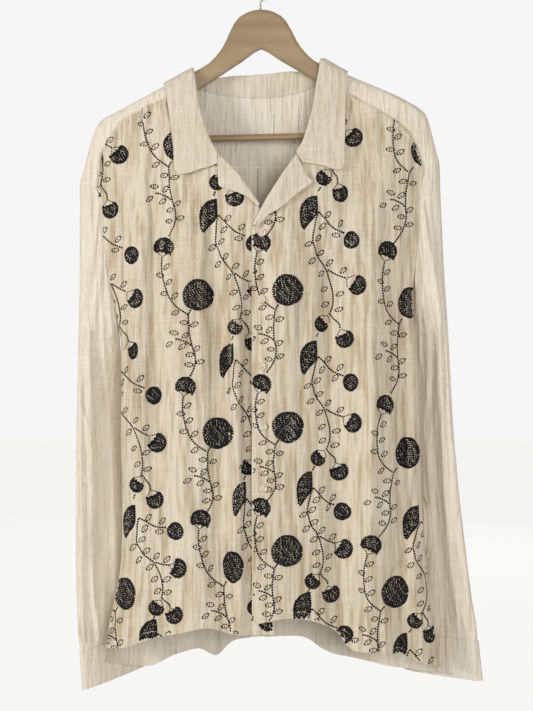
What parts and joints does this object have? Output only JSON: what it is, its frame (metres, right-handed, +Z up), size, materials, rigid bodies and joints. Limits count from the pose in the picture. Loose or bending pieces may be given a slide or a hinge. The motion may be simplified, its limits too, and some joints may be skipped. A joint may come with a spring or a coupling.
{
  "type": "embroidered shirt on a wooden hanger",
  "caption": "Long-sleeved camp-collar shirt of cream cotton with dark floral vine embroidery on its fronts, hanging on a wooden hanger with a trouser bar.",
  "frame": {"origin": "inside crest of the hanger's hook, where a rail holds it", "axes": "+Z up, -Y out of the shirt's front, +X to the wearer's left"},
  "size_m": [0.5319, 0.1203, 0.9509],
  "materials": {
    "cotton": "cream crinkled woven cotton with dark embroidered vines on the fronts",
    "label": "bare woven neck label",
    "button": "cream pearly shirt button",
    "wood": "tan lacquered hardwood",
    "hook": "bright wire"
  },
  "bodies": {
    "root": {"front_right": "cotton", "front_left": "cotton", "yoke": "cotton", "back": "cotton", "collar": "cotton", "lapel_right": "cotton", "lapel_left": "cotton", "sleeve_right": "cotton", "sleeve_left": "cotton", "cuff_right": "cotton", "cuff_left": "cotton", "pocket_mouth": "cotton", "label": "label", "button_1": "button", "button_2": "button", "button_3": "button", "button_4": "button", "button_5": "button", "cuff_button_right": "button", "cuff_button_left": "button", "hanger_wood": "wood", "hanger_bar": "wood", "hanger_hook": "hook"}
  },
  "joints": []
}
